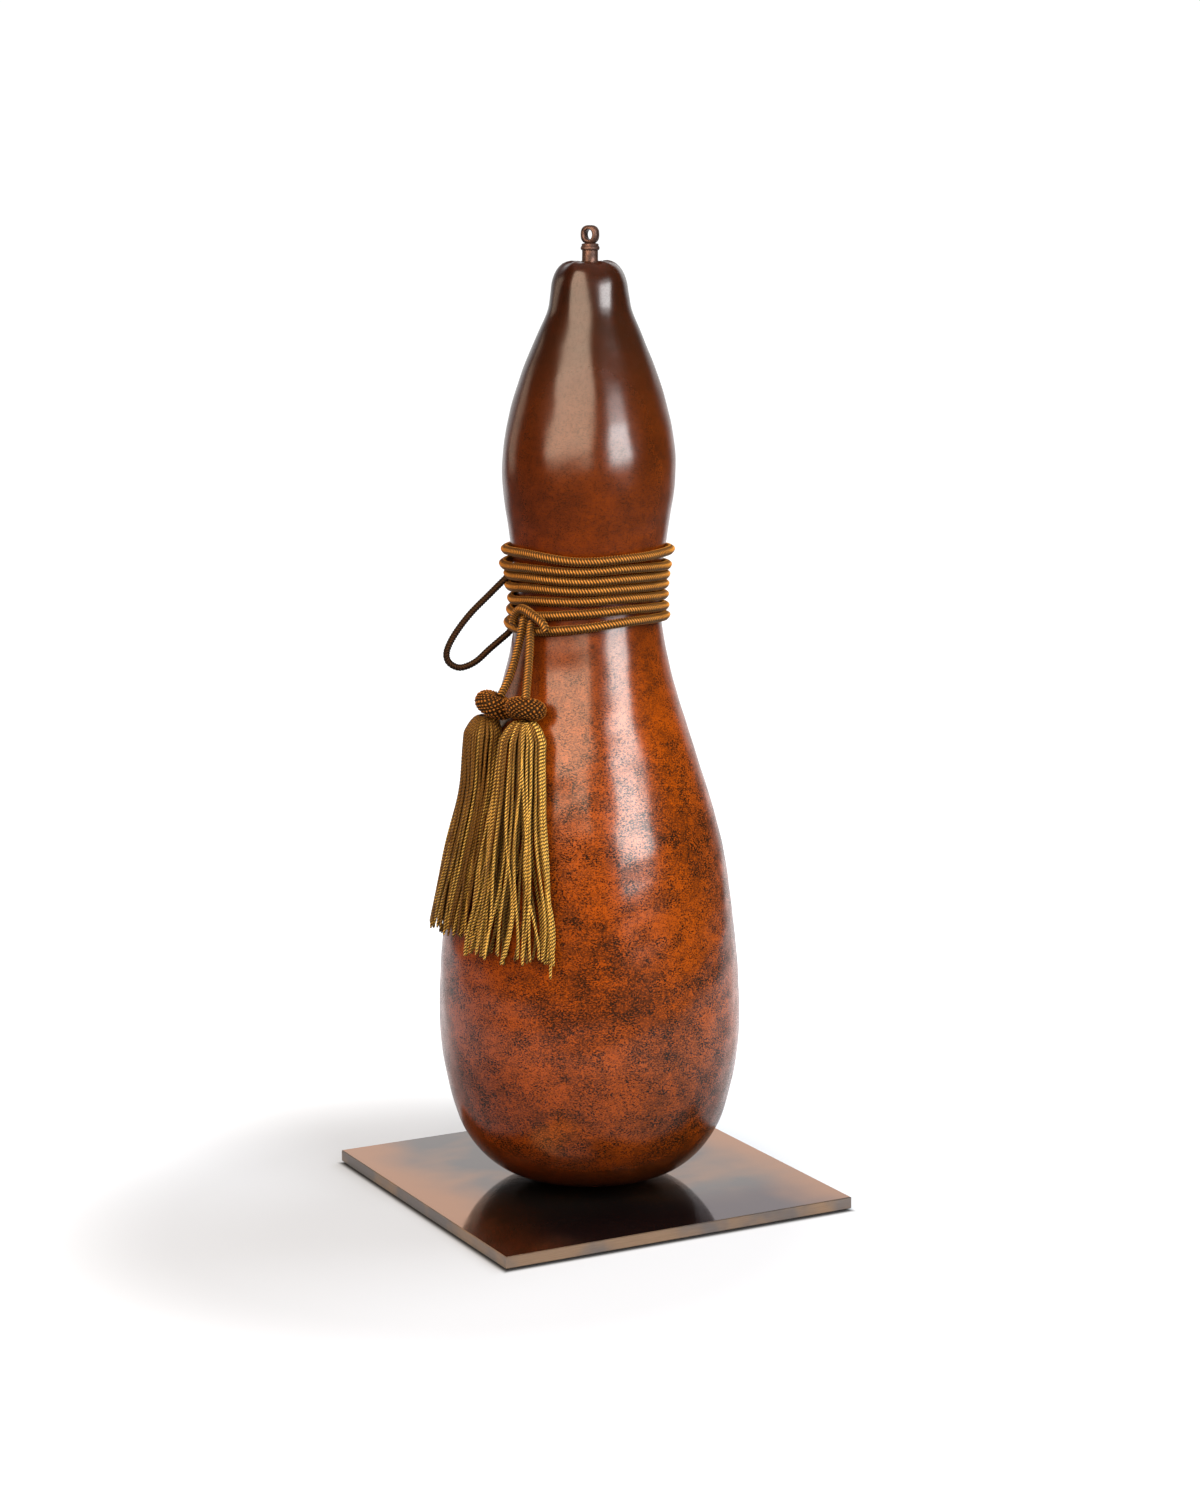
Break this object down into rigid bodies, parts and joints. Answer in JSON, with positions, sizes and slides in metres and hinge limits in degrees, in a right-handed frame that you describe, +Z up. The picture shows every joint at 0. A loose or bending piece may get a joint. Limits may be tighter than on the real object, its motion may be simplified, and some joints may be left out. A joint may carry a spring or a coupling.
{
  "type": "dried bottle gourd on a metal stand",
  "caption": "A lacquered dried bottle gourd with a metal stopper, a braided waist cord with tassels and a thin loop, standing on a square copper plate",
  "frame": {"origin": "centre of the stand's underside, where the felt pad meets the table", "axes": "+Z up along the gourd; X and Y along the sides of the square plate; the tassels hang on the -X side"},
  "size_m": [0.2032, 0.2032, 0.5125],
  "materials": {
    "felt": "thin dark felt",
    "copper": "mirror polished copper alloy with heat tints and brushed edges",
    "gourd_skin": "lacquered orange-brown gourd skin with dark flecks",
    "bronze": "dark reddish-brown patina",
    "cord": "braided silky cord",
    "tassel": "two-ply twisted strands with a soft sheen",
    "dark_cord": "thin dark braided cord"
  },
  "bodies": {
    "root": {"felt_pad": "felt", "base_plate": "copper", "gourd": "gourd_skin", "stopper": "bronze", "waist_cord": "cord", "cord_knot": "cord", "pendant_left": "cord", "pendant_right": "cord", "tassel_head_left": "cord", "tassel_head_right": "cord", "tassel_skirt_left": "tassel", "tassel_skirt_right": "tassel", "loop_cord": "dark_cord"}
  },
  "joints": []
}
